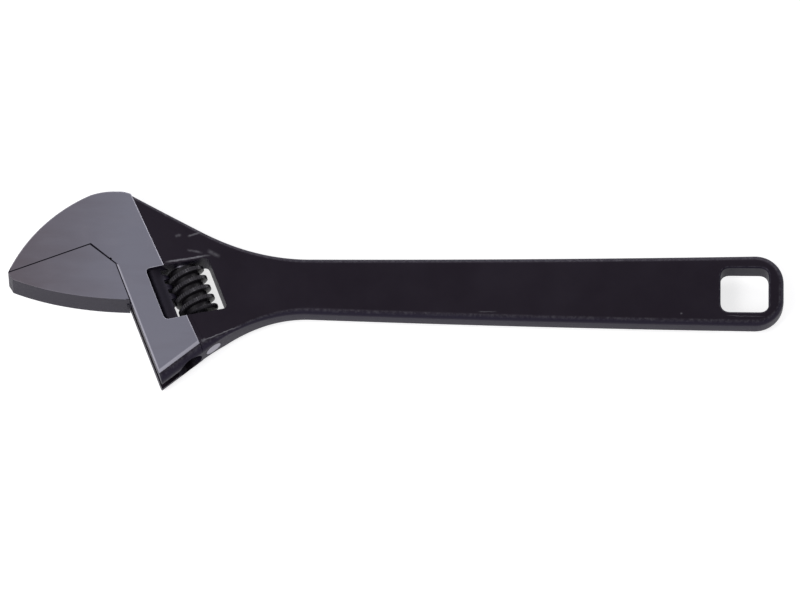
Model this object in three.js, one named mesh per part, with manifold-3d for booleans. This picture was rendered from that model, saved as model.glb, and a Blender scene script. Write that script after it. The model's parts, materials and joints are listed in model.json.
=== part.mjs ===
// Adjustable wrench, 12-inch class: forged body, movable jaw with rack, knurled worm, axle pin and spring.
// Millimetres. The wrench lies flat: +X from the jaws to the end of the handle, +Z up through the thickness.
//
// Two frames are used while building. The wrench frame has X along the handle, Z = 0 in the middle of the
// thickness. The slide frame has its origin at the throat corner, X behind the front face of the head and
// +Y up along the slide, so the jaw opens towards -Y.

import * as THREE from 'three';
import { mergeVertices } from 'three/addons/utils/BufferGeometryUtils.js';
import Module from 'manifold-3d';

const wasm = await Module();
wasm.setup();

// ---- driving dimensions ---------------------------------------------------------------------------------

const LENGTH = 305;
const HEAD_THICKNESS = 16;
const HANDLE_THICKNESS = 10.5;
const GAP = 0.3; // running clearance between pieces

// slide: where the movable jaw travels
const SLIDE_ANGLE = THREE.MathUtils.degToRad(21); // from square to the handle
const THROAT = new THREE.Vector2(42.6, 7.4); // throat corner in the wrench frame
const JAW_FACE = 11.5; // height of the parting line above the throat corner
const JAW_REACH = 41.2; // from the head's front face to the jaw tips
const THROAT_RUN = JAW_FACE / Math.tan(Math.PI / 3); // a hexagon's corner fits the throat
const JAW_ROOT = 15.9; // how far the jaw's root reaches down the slide

// rack rod and the keyhole it runs in
const RACK_AXIS = 13.4; // behind the head's front face
const ROD_RADIUS = 5.25;
const CHANNEL_RADIUS = ROD_RADIUS + GAP;
const ROD_TOP = 12;
const ROD_BOTTOM = -31;
const WEB_THICKNESS = 4.6;
const TOOTH_ROOT = 15.4;
const TOOTH_TIP = 18.5;
const TOOTH_TIP_WIDTH = 1.14;
const TOOTH_COUNT = 8;
const FIRST_TOOTH = 9.8; // height of the top tooth's middle
const MESHED_TOOTH = 7; // this one stands in the worm's first groove

// worm, its window and its axle
const WORM_AXIS = 24.4;
const WORM_PITCH = 4.2;
const WORM_RADIUS = 7.8;
const WORM_CORE = 5.6;
const CREST_WIDTH = 1.5;
const FLANK_SLOPE = 0.2273; // half width gained for each unit of depth, on ridges and teeth alike
const WORM_TOP = -9.4;
const WORM_BOTTOM = -29.2;
// the window's ends lean a little from square to the slide: heights are those at its left side
const WINDOW = { left: 9.8, right: 34.8, top: -6.1, bottom: -28.6, lean: 0.133, corner: 2 };
const PIN_RADIUS = 3;
const PIN_TOP = -0.9;
const PIN_END = -43.7;
const SPRING = { top: -9.3, radius: 3.95, wire: 0.35, turns: 5, length: 7.5 };
const SPRING_POCKET = { radius: 4.6, depth: 8 };

// neck and handle
const NECK = { back: new THREE.Vector2(47.8, 36.6), belly: new THREE.Vector2(77, -28.2) };
const NECK_START = (NECK.back.x + NECK.belly.x) / 2;
const HANDLE_START = 120; // the neck has faded into the handle here
const FLAT_FROM = 104; // the neck is down to the handle's thickness here
const FLAT_STEP = 0.15; // the neck starts this much below the head's ground flat
// distance of the handle's two edges from its centre line: at its start, then what is gained with the share
// of the handle that has been run, and with that share squared
const HANDLE_BACK = [11.68, 1.38, 1.97];
const HANDLE_BELLY = [11.5, 5.28, -2.15];
const EDGE_RADIUS = 2.6;
const TAIL_RADIUS = 4.2; // along the lower edges of the tail
const TAIL_TIP = 51.9; // how far the head's front face reaches down the slide
const CORNER_POINTS = 5; // in each rounded corner of the handle's section
const END_CORNER = 11.5;
const END_BEVEL = 1.8;
const HANG_HOLE = { x: 289.6, length: 19, width: 18.4, corner: 4 };

// ---- small helpers --------------------------------------------------------------------------------------

const toWrench = new THREE.Matrix4()
  .makeRotationZ(SLIDE_ANGLE)
  .setPosition(THROAT.x, THROAT.y, 0);

/** Turns a closed three.js geometry into a solid that can be joined and cut. */
function solid(geometry) {
  const bare = geometry.index ? geometry.clone() : geometry;
  bare.deleteAttribute('normal');
  bare.deleteAttribute('uv');
  const merged = mergeVertices(bare, 1e-4);
  const corners = [];
  for (let i = 0; i < merged.index.count; i += 3) {
    const [a, b, c] = [0, 1, 2].map((j) => merged.index.getX(i + j));
    // a facet that merging has made a line is left out
    if (a !== b && b !== c && c !== a) corners.push(a, b, c);
  }
  return new wasm.Manifold(new wasm.Mesh({
    numProp: 3,
    vertProperties: new Float32Array(merged.attributes.position.array),
    triVerts: new Uint32Array(corners),
  }));
}

/** Makes the named mesh of a finished solid. */
function part(name, body, color, roughness, metalness) {
  const data = body.getMesh();
  const geometry = new THREE.BufferGeometry();
  geometry.setAttribute('position', new THREE.BufferAttribute(data.vertProperties, 3));
  geometry.setIndex(new THREE.BufferAttribute(data.triVerts, 1));
  geometry.computeVertexNormals();
  const mesh = new THREE.Mesh(geometry, new THREE.MeshStandardMaterial({ color, roughness, metalness }));
  mesh.name = name;
  return mesh;
}

/** A flat outline made solid, centred on the middle of the thickness. */
function plate(shape, thickness, curveSegments = 6) {
  const options = { depth: thickness, bevelEnabled: false, curveSegments };
  return new THREE.ExtrudeGeometry(shape, options).translate(0, 0, -thickness / 2);
}

/** A polygon, listed against the clock, with every corner rounded from a distance r before it. */
function roundedPolygon(corners, r) {
  const shape = new THREE.Shape();
  const points = corners.map(([x, y]) => new THREE.Vector2(x, y));
  points.forEach((corner, i) => {
    const before = points[(i + points.length - 1) % points.length];
    const after = points[(i + 1) % points.length];
    const enter = before.clone().sub(corner).setLength(r).add(corner);
    const leave = after.clone().sub(corner).setLength(r).add(corner);
    if (i === 0) shape.moveTo(enter.x, enter.y);
    else shape.lineTo(enter.x, enter.y);
    shape.quadraticCurveTo(corner.x, corner.y, leave.x, leave.y);
  });
  return shape;
}

/** A rectangle with rounded corners. */
function roundedRectangle(left, bottom, right, top, r) {
  return roundedPolygon([[left, bottom], [right, bottom], [right, top], [left, top]], r);
}

/** A round bar along Y from one height to another, its axis at x. */
function bar(radius, from, to, x, segments = 32) {
  const geometry = new THREE.CylinderGeometry(radius, radius, Math.abs(to - from), segments);
  return geometry.translate(x, (from + to) / 2, 0);
}

/** A block between two x values, two y values and centred in the thickness. */
function block(left, right, bottom, top, thickness) {
  const geometry = new THREE.BoxGeometry(right - left, top - bottom, thickness);
  return geometry.translate((left + right) / 2, (bottom + top) / 2, 0);
}

// ---- body -----------------------------------------------------------------------------------------------

/** A parabola that leaves (x0, y0) at slope0 and arrives at (x1, y1). */
function fillet(x, x0, y0, slope0, x1, y1) {
  const t = (x - x0) / (x1 - x0);
  const control = y0 + slope0 * (x1 - x0) / 2;
  return (1 - t) ** 2 * y0 + 2 * t * (1 - t) * control + t ** 2 * y1;
}

/** Distance of one edge of the handle from its centre line at x. */
function handleEdge([start, growth, swell], x) {
  const share = (x - HANDLE_START) / (LENGTH - HANDLE_START);
  return start + growth * share + swell * share ** 2;
}

/** Height of the upper edge of neck and handle at x. */
function backEdge(x) {
  const slope = -0.51;
  const bend = 76;
  const bendHeight = NECK.back.y + slope * (bend - NECK.back.x);
  if (x < bend) return NECK.back.y + slope * (x - NECK.back.x);
  if (x < HANDLE_START) return fillet(x, bend, bendHeight, slope, HANDLE_START, HANDLE_BACK[0]);
  return handleEdge(HANDLE_BACK, x);
}

/** Height of the lower edge of neck and handle at x. */
function bellyEdge(x) {
  if (x < HANDLE_START) {
    return fillet(x, NECK.belly.x, NECK.belly.y, 0.82, HANDLE_START, -HANDLE_BELLY[0]);
  }
  return -handleEdge(HANDLE_BELLY, x);
}

/** Where the stations of neck and handle lie, on the line half way between the two edges. */
function stationPlaces() {
  const places = [NECK_START - 3];
  const neckSteps = 10;
  for (let i = 0; i < neckSteps; i += 1) {
    places.push(THREE.MathUtils.lerp(NECK_START, HANDLE_START, i / neckSteps));
  }
  places.push(HANDLE_START, 180, 240, HANG_HOLE.x - HANG_HOLE.length);
  const cornerSteps = 5;
  for (let i = 0; i <= cornerSteps; i += 1) {
    places.push(LENGTH - END_CORNER + END_CORNER * Math.sin(i / cornerSteps * Math.PI / 2));
  }
  return places;
}

/** One station of the neck and handle: its two edge points, its half thickness and its edge radii. */
function station(x) {
  const slant = (NECK.belly.x - NECK.back.x) / 2;
  const fade = THREE.MathUtils.clamp((HANDLE_START - x) / (HANDLE_START - NECK_START), 0, 1);
  const thicken = THREE.MathUtils.clamp((FLAT_FROM - x) / (FLAT_FROM - NECK_START), 0, 1) ** 2;
  const neckThickness = HEAD_THICKNESS - 2 * FLAT_STEP;
  const inset = x < NECK_START ? 1 : 0; // the first station hides inside the head
  const back = new THREE.Vector2(x - slant * fade, 0);
  const belly = new THREE.Vector2(x + slant * fade, 0);
  const intoEnd = Math.max(0, x - (LENGTH - END_CORNER)) / END_CORNER;
  const corner = END_CORNER * (1 - Math.sqrt(Math.max(0, 1 - intoEnd ** 2)));
  const bevel = END_BEVEL * THREE.MathUtils.smoothstep(x, LENGTH - END_CORNER / 3, LENGTH);
  back.y = backEdge(back.x) - inset - corner;
  belly.y = bellyEdge(Math.max(belly.x, NECK.belly.x)) + inset + corner;
  return {
    back,
    belly,
    halfThickness: THREE.MathUtils.lerp(HANDLE_THICKNESS, neckThickness, thicken) / 2 - bevel,
    backRadius: THREE.MathUtils.lerp(EDGE_RADIUS, 1.4, fade) - bevel / 2,
    bellyRadius: THREE.MathUtils.lerp(EDGE_RADIUS, TAIL_RADIUS, fade ** 6) - bevel / 2,
  };
}

/** Neck and handle: a round tube of facets drawn out through all the stations. */
function neckAndHandle() {
  const places = stationPlaces();
  const steps = places.length - 1;
  const geometry = new THREE.CylinderGeometry(1, 1, steps, 4 * CORNER_POINTS, steps);
  const position = geometry.attributes.position;
  for (let i = 0; i < position.count; i += 1) {
    const place = station(places[Math.round(steps / 2 - position.getY(i))]);
    const spread = Math.hypot(position.getX(i), position.getZ(i));
    const angle = Math.atan2(position.getX(i), position.getZ(i));
    const across = place.back.clone().sub(place.belly);
    const middle = place.back.clone().add(place.belly).multiplyScalar(0.5);
    const corner = roundedCorner(angle, across.length() / 2, place);
    across.setLength(1).multiplyScalar(corner.x * spread);
    position.setXYZ(i, middle.x + across.x, middle.y + across.y, corner.y * spread);
  }
  return geometry;
}

/** The point of a station's rounded rectangle that belongs to an angle round it: x across, y up. */
function roundedCorner(angle, halfWidth, place) {
  const around = 4 * CORNER_POINTS;
  const step = Math.round(angle / (2 * Math.PI) * around + around) % around;
  const quarter = Math.floor(step / CORNER_POINTS);
  const turn = (quarter + (step % CORNER_POINTS) / (CORNER_POINTS - 1)) * Math.PI / 2;
  const towardsBack = quarter < 2 ? 1 : -1;
  const upwards = quarter === 0 || quarter === 3 ? 1 : -1;
  const radius = quarter < 2 ? place.backRadius : place.bellyRadius;
  return new THREE.Vector2(
    towardsBack * (halfWidth - radius) + radius * Math.sin(turn),
    upwards * (place.halfThickness - radius) + radius * Math.cos(turn),
  );
}

const tailTip = new THREE.Vector3(0, -TAIL_TIP, 0).applyMatrix4(toWrench);

/** Head and fixed jaw as a flat plate of the full thickness. */
function headPlate() {
  const crestCentre = new THREE.Vector2(59.64, -22.90);
  const crestRadius = 65.12;
  const crestAngle = THREE.MathUtils.degToRad(115.2); // where the crest's arc meets the round shoulder
  const shoulder = new THREE.Vector2(Math.cos(crestAngle), Math.sin(crestAngle))
    .multiplyScalar(crestRadius)
    .add(crestCentre);
  const tip = new THREE.Vector3(-JAW_REACH, JAW_FACE + GAP / 2, 0).applyMatrix4(toWrench);
  const peak = new THREE.Vector3(-THROAT_RUN, JAW_FACE + GAP / 2, 0).applyMatrix4(toWrench);
  const tipAngle = Math.atan2(tip.y - crestCentre.y, tip.x - crestCentre.x);
  const shape = new THREE.Shape();
  shape.moveTo(tailTip.x, tailTip.y);
  shape.lineTo(NECK.belly.x, NECK.belly.y);
  shape.lineTo(NECK.back.x, NECK.back.y + 0.1);
  shape.quadraticCurveTo(45.4, 37.68, 43.6, 37.68);
  shape.lineTo(41, 37.66);
  shape.quadraticCurveTo(36.6, 37.66, shoulder.x, shoulder.y);
  shape.absarc(crestCentre.x, crestCentre.y, crestRadius, crestAngle, tipAngle, false);
  shape.lineTo(peak.x, peak.y);
  shape.lineTo(THROAT.x, THROAT.y);
  return plate(shape, HEAD_THICKNESS, 12);
}

/** The slab whose rounded side gives the tail its round lower edges. */
function tailRounding() {
  const reach = 150;
  const direction = Math.atan2(NECK.belly.y - tailTip.y, NECK.belly.x - tailTip.x);
  const half = HEAD_THICKNESS / 2;
  const section = roundedRectangle(0, -half, reach, half, TAIL_RADIUS);
  const options = { depth: 2 * reach, bevelEnabled: false, curveSegments: 4 };
  const slab = new THREE.ExtrudeGeometry(section, options);
  slab.translate(0, 0, -reach);
  slab.rotateX(Math.PI / 2);
  slab.rotateZ(direction + Math.PI / 2);
  return slab.translate(tailTip.x, tailTip.y, 0);
}

function makeBody() {
  const hole = roundedRectangle(
    HANG_HOLE.x - HANG_HOLE.length / 2,
    -HANG_HOLE.width / 2,
    HANG_HOLE.x + HANG_HOLE.length / 2,
    HANG_HOLE.width / 2,
    HANG_HOLE.corner,
  );
  const drop = WINDOW.lean * (WINDOW.right - WINDOW.left);
  const window = roundedPolygon([
    [WINDOW.left, WINDOW.bottom],
    [WINDOW.right, WINDOW.bottom - drop],
    [WINDOW.right, WINDOW.top - drop],
    [WINDOW.left, WINDOW.top],
  ], WINDOW.corner);
  const through = HEAD_THICKNESS * 2;
  const beyondTail = -60;
  const cuts = [
    plate(window, through, 4),
    bar(CHANNEL_RADIUS, ROD_TOP + 0.5, beyondTail, RACK_AXIS, 40),
    block(-5, RACK_AXIS, beyondTail, 0, WEB_THICKNESS + 2 * GAP),
    bar(PIN_RADIUS + GAP, PIN_TOP + GAP, beyondTail, WORM_AXIS, 28),
  ];
  let body = solid(headPlate()).intersect(solid(tailRounding())).add(solid(neckAndHandle()));
  for (const cut of cuts) body = body.subtract(solid(cut.applyMatrix4(toWrench)));
  body = body.subtract(solid(plate(hole, through, 5)));
  return part('body', body, 0x242126, 0.42, 0.6);
}

// ---- movable jaw ----------------------------------------------------------------------------------------

/** The jaw seen from above, in the slide frame. */
function jawShape() {
  const face = JAW_FACE - GAP / 2;
  const shape = new THREE.Shape();
  shape.moveTo(-GAP, -GAP / 4);
  shape.lineTo(-THROAT_RUN - GAP, face);
  shape.lineTo(-JAW_REACH, face);
  shape.lineTo(-JAW_REACH + 0.6, face - 3.2);
  shape.quadraticCurveTo(-25, -6, -GAP, -JAW_ROOT);
  return shape;
}

/** One rack tooth, a little long at its root and leaning with the worm's thread. */
function rackTooth(y) {
  const rootWidth = TOOTH_TIP_WIDTH + 2 * FLANK_SLOPE * (TOOTH_TIP - TOOTH_ROOT + 1);
  const shape = new THREE.Shape();
  shape.moveTo(TOOTH_ROOT - 1, -rootWidth / 2);
  shape.lineTo(TOOTH_TIP, -TOOTH_TIP_WIDTH / 2);
  shape.lineTo(TOOTH_TIP, TOOTH_TIP_WIDTH / 2);
  shape.lineTo(TOOTH_ROOT - 1, rootWidth / 2);
  const meanRadius = (WORM_RADIUS + WORM_CORE) / 2;
  const lead = Math.atan(WORM_PITCH / (2 * Math.PI * meanRadius));
  return plate(shape, 3 * ROD_RADIUS).rotateX(-lead).translate(0, y, 0);
}

function makeMovableJaw() {
  const rodEnd = 1.2; // depth of the chamfers at the rod's ends
  const length = ROD_TOP - ROD_BOTTOM;
  const profile = [
    new THREE.Vector2(0, 0),
    new THREE.Vector2(ROD_RADIUS - rodEnd, 0),
    new THREE.Vector2(ROD_RADIUS, rodEnd),
    new THREE.Vector2(ROD_RADIUS, length - rodEnd),
    new THREE.Vector2(ROD_RADIUS - rodEnd, length),
    new THREE.Vector2(0, length),
  ];
  const rod = solid(new THREE.LatheGeometry(profile, 32).translate(RACK_AXIS, ROD_BOTTOM, 0));
  const back = block(TOOTH_ROOT, TOOTH_ROOT + 10, ROD_BOTTOM - 1, ROD_TOP + 1, 20);
  let rack = rod.subtract(solid(back));
  for (let i = 0; i < TOOTH_COUNT; i += 1) {
    const tooth = solid(rackTooth(FIRST_TOOTH - i * WORM_PITCH));
    rack = rack.add(tooth.intersect(rod));
  }
  const web = solid(block(-GAP - 1, RACK_AXIS - 1, -JAW_ROOT, -1.2, WEB_THICKNESS));
  const jaw = solid(plate(jawShape(), HEAD_THICKNESS, 12)).add(web).add(rack);
  return part('movable_jaw', jaw, 0x6f6f75, 0.4, 0.85);
}

// ---- worm, axle and spring ------------------------------------------------------------------------------

/** The worm's ridge: a long bar wound into a right-handed helix, tapered towards its crest. */
function wormRidge(crestAt) {
  const turns = 7;
  const perTurn = 32;
  const foot = WORM_CORE - 0.6;
  const height = WORM_RADIUS - foot;
  const ridge = new THREE.BoxGeometry(turns, height, 1, turns * perTurn, 1, 1);
  const position = ridge.attributes.position;
  for (let i = 0; i < position.count; i += 1) {
    const radius = foot + height / 2 + position.getY(i);
    const halfWidth = CREST_WIDTH / 2 + FLANK_SLOPE * (WORM_RADIUS - radius);
    const angle = position.getX(i) * 2 * Math.PI;
    const y = crestAt + position.getX(i) * WORM_PITCH - 2 * position.getZ(i) * halfWidth;
    // angle 0 faces the rack, on the side of -X
    position.setXYZ(i, -radius * Math.cos(angle), y, radius * Math.sin(angle));
  }
  return ridge;
}

function makeKnurl() {
  const ridge = wormRidge(FIRST_TOOTH - (MESHED_TOOTH - 0.5) * WORM_PITCH);
  const profile = [
    new THREE.Vector2(PIN_RADIUS + GAP, WORM_BOTTOM),
    new THREE.Vector2(WORM_RADIUS - 0.8, WORM_BOTTOM),
    new THREE.Vector2(WORM_RADIUS + 0.2, WORM_BOTTOM + 1),
    new THREE.Vector2(WORM_RADIUS + 0.2, WORM_TOP - 1),
    new THREE.Vector2(WORM_RADIUS - 0.8, WORM_TOP),
    new THREE.Vector2(SPRING_POCKET.radius, WORM_TOP),
    new THREE.Vector2(SPRING_POCKET.radius, WORM_TOP - SPRING_POCKET.depth),
    new THREE.Vector2(PIN_RADIUS + GAP, WORM_TOP - SPRING_POCKET.depth),
    new THREE.Vector2(PIN_RADIUS + GAP, WORM_BOTTOM),
  ];
  const envelope = solid(new THREE.LatheGeometry(profile, 32));
  const core = solid(bar(WORM_CORE, WORM_BOTTOM - 1, WORM_TOP + 1, 0));
  const knurl = part('knurl', core.add(solid(ridge)).intersect(envelope), 0x1d1b20, 0.45, 0.7);
  knurl.position.x = WORM_AXIS;
  return knurl;
}

function makePin() {
  const mesh = part('knurl_pin', solid(bar(PIN_RADIUS, PIN_END, PIN_TOP, 0, 28)), 0x86848d, 0.3, 1);
  mesh.position.x = WORM_AXIS;
  return mesh;
}

function makeSpring() {
  const points = [];
  const perTurn = 12;
  const steps = SPRING.turns * perTurn;
  for (let i = 0; i <= steps; i += 1) {
    const angle = i / perTurn * 2 * Math.PI;
    const y = -SPRING.length * i / steps;
    points.push(new THREE.Vector3(SPRING.radius * Math.cos(angle), y, SPRING.radius * Math.sin(angle)));
  }
  const section = new THREE.Shape().absarc(0, 0, SPRING.wire, 0, 2 * Math.PI);
  const path = new THREE.CatmullRomCurve3(points);
  const options = { steps, extrudePath: path, curveSegments: 3, bevelEnabled: false };
  const mesh = part('knurl_spring', solid(new THREE.ExtrudeGeometry(section, options)), 0xa5a5aa, 0.35, 1);
  mesh.position.set(WORM_AXIS, SPRING.top, 0);
  return mesh;
}

// ---- assembly -------------------------------------------------------------------------------------------

const slide = new THREE.Group();
slide.rotation.z = SLIDE_ANGLE;
slide.position.set(THROAT.x, THROAT.y, 0);
slide.add(makeMovableJaw(), makeKnurl(), makePin(), makeSpring());

const wrench = new THREE.Group();
wrench.add(makeBody(), slide);

// origin: middle of the bottom of the whole wrench, which lies on Z = 0
wrench.updateMatrixWorld(true);
const box = new THREE.Box3().setFromObject(wrench, true);
const middle = box.getCenter(new THREE.Vector3());
wrench.position.set(-middle.x, -middle.y, -box.min.z);
wrench.updateMatrixWorld(true);

export default wrench;
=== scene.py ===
"""Looks of an adjustable wrench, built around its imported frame.

Sizes are in millimetres. Two drawing frames are used, and both have z = 0 in the middle of the thickness:
the wrench frame runs along the handle from the tip of the jaws, and the slide frame has its origin at the
foot of the throat, +y up the slide towards the fixed jaw and +x into the head.
"""

import json
import logging
import math
from collections.abc import Callable
from dataclasses import dataclass
from enum import Enum

import bmesh
import bpy
import numpy as np
from mathutils import Matrix, Vector


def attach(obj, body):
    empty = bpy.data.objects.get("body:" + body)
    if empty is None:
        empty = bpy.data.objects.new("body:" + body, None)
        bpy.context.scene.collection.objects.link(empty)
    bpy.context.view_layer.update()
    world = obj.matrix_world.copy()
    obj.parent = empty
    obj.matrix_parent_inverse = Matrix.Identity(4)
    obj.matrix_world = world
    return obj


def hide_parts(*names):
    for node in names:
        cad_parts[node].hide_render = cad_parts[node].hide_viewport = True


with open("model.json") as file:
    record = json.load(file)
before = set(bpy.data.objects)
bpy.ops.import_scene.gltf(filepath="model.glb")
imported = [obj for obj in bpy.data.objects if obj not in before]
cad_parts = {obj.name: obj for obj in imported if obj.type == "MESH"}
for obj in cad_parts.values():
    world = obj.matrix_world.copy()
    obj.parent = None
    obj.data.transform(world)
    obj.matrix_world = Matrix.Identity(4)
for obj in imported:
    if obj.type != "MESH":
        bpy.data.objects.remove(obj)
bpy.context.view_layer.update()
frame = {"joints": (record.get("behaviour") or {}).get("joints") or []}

log = logging.getLogger("wrench")

Loop = np.ndarray
Level = tuple[float, float]
Point = tuple[float, float]
Place = tuple[float, float, float]
Colour = tuple[float, float, float]
Socket = bpy.types.NodeSocket

HEAD_HALF = 8.0
MM = 0.001
# beyond every surface of the wrench, for tools that cut right through it
THROUGH = 2 * HEAD_HALF
DEEP = -60.0
# the fine chamfer round the ground flats: how deep it goes, and how near a flat a face counts as part of it
CHAMFER = 0.16
NEAR_FLAT = CHAMFER + 0.01
# two edges whose directions differ by less than this (as a sine) run on as one
RUNS_ON = 0.1
# vertices nearer than this, in metres, are one
WELD = 2e-7


# ---- where things are -----------------------------------------------------------------------------------


@dataclass(frozen=True)
class Layout:
    """The two drawing frames, placed by the worm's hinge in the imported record."""

    throat: Point = (42.6, 7.4)
    worm_axis: float = 24.4
    worm_middle: float = -18.4

    def hinge(self) -> dict:
        """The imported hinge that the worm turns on."""
        return next(j for j in frame["joints"] if j["name"] == "knurl_spin")

    def slide_to_row(self) -> Matrix:
        """Slide frame in millimetres to row frame in metres."""
        up = Vector(self.hinge()["axis"]).normalized()
        turn = Matrix.Rotation(math.atan2(-up.x, up.y), 4, "Z")
        middle = Vector(self.hinge()["pos_m"])
        offset = turn @ Vector((self.worm_axis, self.worm_middle, 0)) * MM
        return Matrix.Translation(middle - offset) @ turn @ Matrix.Scale(MM, 4)

    def slide_to_wrench(self) -> Matrix:
        """Slide frame to wrench frame, both in millimetres."""
        up = Vector(self.hinge()["axis"]).normalized()
        turn = Matrix.Rotation(math.atan2(-up.x, up.y), 4, "Z")
        return Matrix.Translation((*self.throat, 0)) @ turn

    def wrench_to_row(self) -> Matrix:
        """Wrench frame in millimetres to row frame in metres."""
        return self.slide_to_row() @ self.slide_to_wrench().inverted()


LAYOUT = Layout()
SLIDE = LAYOUT.slide_to_wrench()


def in_wrench(x: float, y: float) -> Point:
    """A point of the slide frame, in the wrench frame."""
    placed = SLIDE @ Vector((x, y, 0))
    return placed.x, placed.y


# ---- outlines -------------------------------------------------------------------------------------------


def line(start: Point, end: Point, steps: int = 1) -> list[Point]:
    """Points from start up to, but without, end."""
    return [
        (start[0] + (end[0] - start[0]) * i / steps, start[1] + (end[1] - start[1]) * i / steps)
        for i in range(steps)
    ]


def arc(centre: Point, radius: float, start: float, end: float, steps: int) -> list[Point]:
    """Points on a circle from one angle to another, in degrees, both included."""
    angles = [math.radians(start + (end - start) * i / steps) for i in range(steps + 1)]
    return [(centre[0] + radius * math.cos(a), centre[1] + radius * math.sin(a)) for a in angles]


def bend(start: Point, pull: Point, end: Point, steps: int) -> list[Point]:
    """Points of a quadratic curve from start up to, but without, end.

    Args:
        start: where the curve leaves.
        pull: the control point.
        end: where the curve would arrive.
        steps: how many points to make.

    Returns:
        The points, start first.
    """
    points = []
    for i in range(steps):
        t = i / steps
        points.append(tuple(
            (1 - t) ** 2 * a + 2 * t * (1 - t) * b + t * t * c for a, b, c in zip(start, pull, end)
        ))
    return points


def rounded(corners: list[Point], reach: float, steps: int = 8) -> list[Point]:
    """A polygon with each corner rounded from a distance before it to the same distance after it."""
    points = []
    for i, corner in enumerate(corners):
        here = Vector(corner)
        before = Vector(corners[i - 1]) - here
        after = Vector(corners[(i + 1) % len(corners)]) - here
        enter = here + before.normalized() * reach
        leave = here + after.normalized() * reach
        points += bend(tuple(enter), corner, tuple(leave), steps) + [tuple(leave)]
    return points


def inset(outline: Loop, amounts: np.ndarray) -> Loop:
    """Moves each edge of a loop inwards by its own amount.

    Args:
        outline: points against the clock, one row each.
        amounts: one distance for each edge, where edge i leaves point i. Negative moves outwards.

    Returns:
        The corners of the moved edges, in the same order.
    """
    following = np.roll(outline, -1, axis=0) - outline
    normals = np.stack([following[:, 1], -following[:, 0]], axis=1)
    normals /= np.linalg.norm(normals, axis=1, keepdims=True)
    before, amounts_before = np.roll(normals, 1, axis=0), np.roll(amounts, 1)
    turn = before[:, 0] * normals[:, 1] - before[:, 1] * normals[:, 0]
    moved = np.empty_like(outline)
    straight = np.abs(turn) < RUNS_ON
    mean = before + normals
    mean /= np.linalg.norm(mean, axis=1, keepdims=True)
    moved[straight] = (-mean * ((amounts + amounts_before) / 2)[:, None])[straight]
    det = np.where(straight, 1.0, turn)
    moved_x = (-amounts_before * normals[:, 1] + amounts * before[:, 1]) / det
    moved_y = (-before[:, 0] * amounts + normals[:, 0] * amounts_before) / det
    corner = ~straight
    moved[corner, 0] = moved_x[corner]
    moved[corner, 1] = moved_y[corner]
    return outline + moved


def flared_levels(half: float, flare: float, steps: int, beyond: float = 6.0) -> list[Level]:
    """Levels of a cutter that leaves a hole with rounded rims in a plate of that half thickness."""
    turns = [i / steps * math.pi / 2 for i in range(steps + 1)]
    inner = [(half - flare * (1 - math.sin(turn)), -flare * (1 - math.cos(turn))) for turn in turns]
    inner.append((half + beyond, -flare))
    return [(-z, d) for z, d in reversed(inner)] + inner


# ---- solids ---------------------------------------------------------------------------------------------


class Join(Enum):
    """How a second solid is joined to a first."""

    ADD = "UNION"
    CUT = "DIFFERENCE"
    KEEP = "INTERSECT"


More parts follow.
